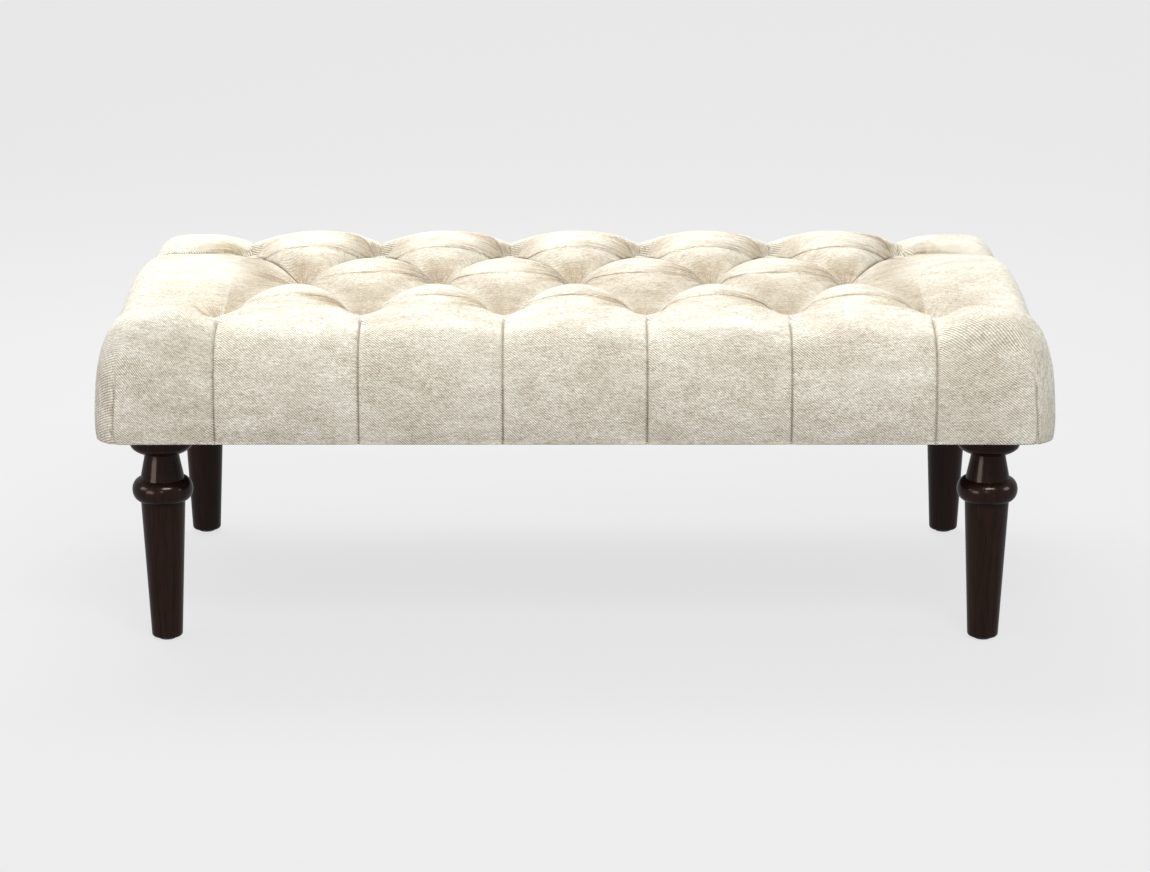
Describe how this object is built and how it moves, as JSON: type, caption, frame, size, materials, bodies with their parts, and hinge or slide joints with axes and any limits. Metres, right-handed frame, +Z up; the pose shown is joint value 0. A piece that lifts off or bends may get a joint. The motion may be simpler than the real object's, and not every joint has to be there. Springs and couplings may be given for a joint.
{
  "type": "tufted footstool",
  "caption": "Long bench footstool with a deep button-tufted ivory cushion, pleated down its sides, on turned dark wooden legs.",
  "frame": {"origin": "on the floor, under the middle of the seat", "axes": "+X along the length, to the right as seen from the front; -Y towards the front; +Z up"},
  "size_m": [1.22, 0.66, 0.448],
  "materials": {
    "cover_fabric": "matte",
    "espresso_wood": "satin",
    "frame_pine": "matte",
    "deck_ply": "matte",
    "beech_dowel": "matte",
    "seat_foam": "matte",
    "polyester_batting": "matte",
    "button_steel": "satin",
    "twine": "matte",
    "washer_nylon": "matte",
    "dust_cloth": "matte",
    "staple_steel": "satin",
    "screw_zinc": "satin",
    "plate_steel": "satin",
    "glide_nylon": "matte"
  },
  "bodies": {
    "root": {"front_rail": "frame_pine", "back_rail": "frame_pine", "left_rail": "frame_pine", "right_rail": "frame_pine", "left_cross_rail": "frame_pine", "right_cross_rail": "frame_pine", "corner_block_front_left": "frame_pine", "corner_block_front_right": "frame_pine", "corner_block_back_left": "frame_pine", "corner_block_back_right": "frame_pine", "corner_dowels": "beech_dowel", "corner_block_screws": "screw_zinc", "cross_rail_screws": "screw_zinc", "seat_deck": "deck_ply", "deck_screws": "screw_zinc", "foam_block": "seat_foam", "batting": "polyester_batting", "seat_cover": "cover_fabric", "button_caps": "cover_fabric", "button_backs": "button_steel", "tufting_twine": "twine", "twine_washers": "washer_nylon", "cover_staples": "staple_steel", "dust_cover": "dust_cloth", "dust_cover_staples": "staple_steel", "leg_front_left": "espresso_wood", "leg_front_right": "espresso_wood", "leg_back_left": "espresso_wood", "leg_back_right": "espresso_wood", "leg_plates": "plate_steel", "leg_plate_screws": "screw_zinc", "hanger_bolts": "screw_zinc", "foot_glides": "glide_nylon"}
  },
  "joints": []
}
